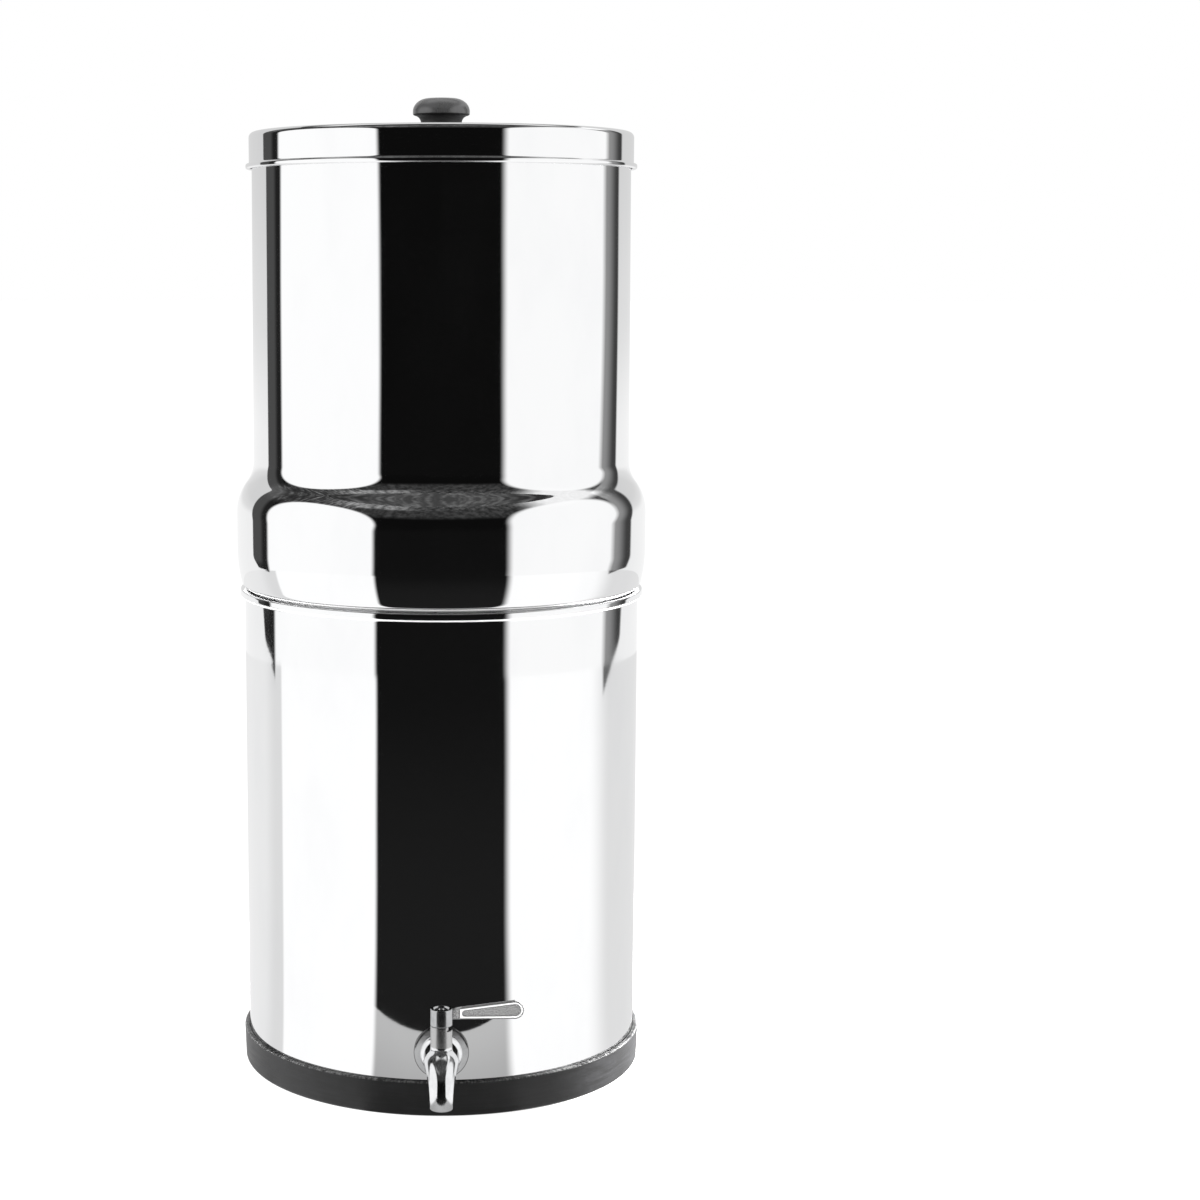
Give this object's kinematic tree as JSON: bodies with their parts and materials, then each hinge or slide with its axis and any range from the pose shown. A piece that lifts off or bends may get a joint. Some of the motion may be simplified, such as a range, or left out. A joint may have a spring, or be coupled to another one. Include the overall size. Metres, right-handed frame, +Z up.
{
  "type": "gravity water filter with tap",
  "caption": "Countertop gravity water filter: stacked steel chambers, a lift-off lid, carbon elements in the upper one and a quarter-turn lever tap low on the front.",
  "frame": {"origin": "centre of the base ring's underside, on the surface the filter stands on", "axes": "+Z up along the chambers' common axis; -Y towards the tap; +X to the tap's right, where the lever points when shut"},
  "size_m": [0.2488, 0.2911, 0.5881],
  "materials": {
    "polished_steel": "mirror-polished stainless steel",
    "tap_steel": "polished cast and turned stainless steel",
    "base_rubber": "satin charcoal rubber",
    "seal_rubber": "matt black rubber",
    "knob_plastic": "satin dark grey moulded plastic",
    "filter_plastic": "semi-gloss dark grey moulded plastic",
    "carbon": "grainy matt black pressed carbon",
    "seat_ptfe": "white PTFE"
  },
  "bodies": {
    "lower": {"base_ring": "base_rubber", "lower_chamber": "polished_steel", "tap_body": "tap_steel", "tap_outer_washer": "seal_rubber", "tap_inner_washer": "seal_rubber", "tap_nut": "tap_steel", "seat_retainer": "tap_steel", "valve_seat_front": "seat_ptfe", "valve_seat_rear": "seat_ptfe"},
    "upper": {"upper_chamber": "polished_steel", "blanking_plug_front": "seal_rubber", "blanking_plug_rear": "seal_rubber"},
    "lid": {"lid_shell": "polished_steel", "lid_knob": "knob_plastic", "knob_screw": "tap_steel", "knob_washer": "tap_steel"},
    "element_left": {"carbon_left": "carbon", "element_base_left": "filter_plastic", "element_washer_left": "seal_rubber"},
    "element_right": {"carbon_right": "carbon", "element_base_right": "filter_plastic", "element_washer_right": "seal_rubber"},
    "nut_left": {"wing_nut_left": "filter_plastic"},
    "nut_right": {"wing_nut_right": "filter_plastic"},
    "lever": {"tap_lever": "tap_steel", "lever_screw": "tap_steel", "valve_stem": "tap_steel", "valve_ball": "tap_steel", "stem_o_ring": "seal_rubber"}
  },
  "joints": [
    {"name": "lever_turn", "type": "hinge", "parent": "lower", "child": "lever", "pos_m": [0, -0.142, 0.0395], "axis": [0, 0, 1], "range_deg": [-90, 0]},
    {"name": "upper_lift", "type": "slide", "parent": "lower", "child": "upper", "axis": [0, 0, 1], "range_m": [0, 0.12]},
    {"name": "lid_lift", "type": "slide", "parent": "upper", "child": "lid", "axis": [0, 0, 1], "range_m": [0, 0.15]},
    {"name": "element_lift_left", "type": "slide", "parent": "upper", "child": "element_left", "axis": [0, 0, 1], "range_m": [0, 0.028]},
    {"name": "element_lift_right", "type": "slide", "parent": "upper", "child": "element_right", "axis": [0, 0, 1], "range_m": [0, 0.028]},
    {"name": "nut_drop_left", "type": "slide", "parent": "upper", "child": "nut_left", "axis": [0, 0, -1], "range_m": [0, 0.0401]},
    {"name": "nut_drop_right", "type": "slide", "parent": "upper", "child": "nut_right", "axis": [0, 0, -1], "range_m": [0, 0.0401]}
  ],
  "couplings": [
    {"joint": "nut_drop_left", "follows": "element_lift_left", "ratio": 1.43},
    {"joint": "nut_drop_right", "follows": "element_lift_right", "ratio": 1.43}
  ]
}
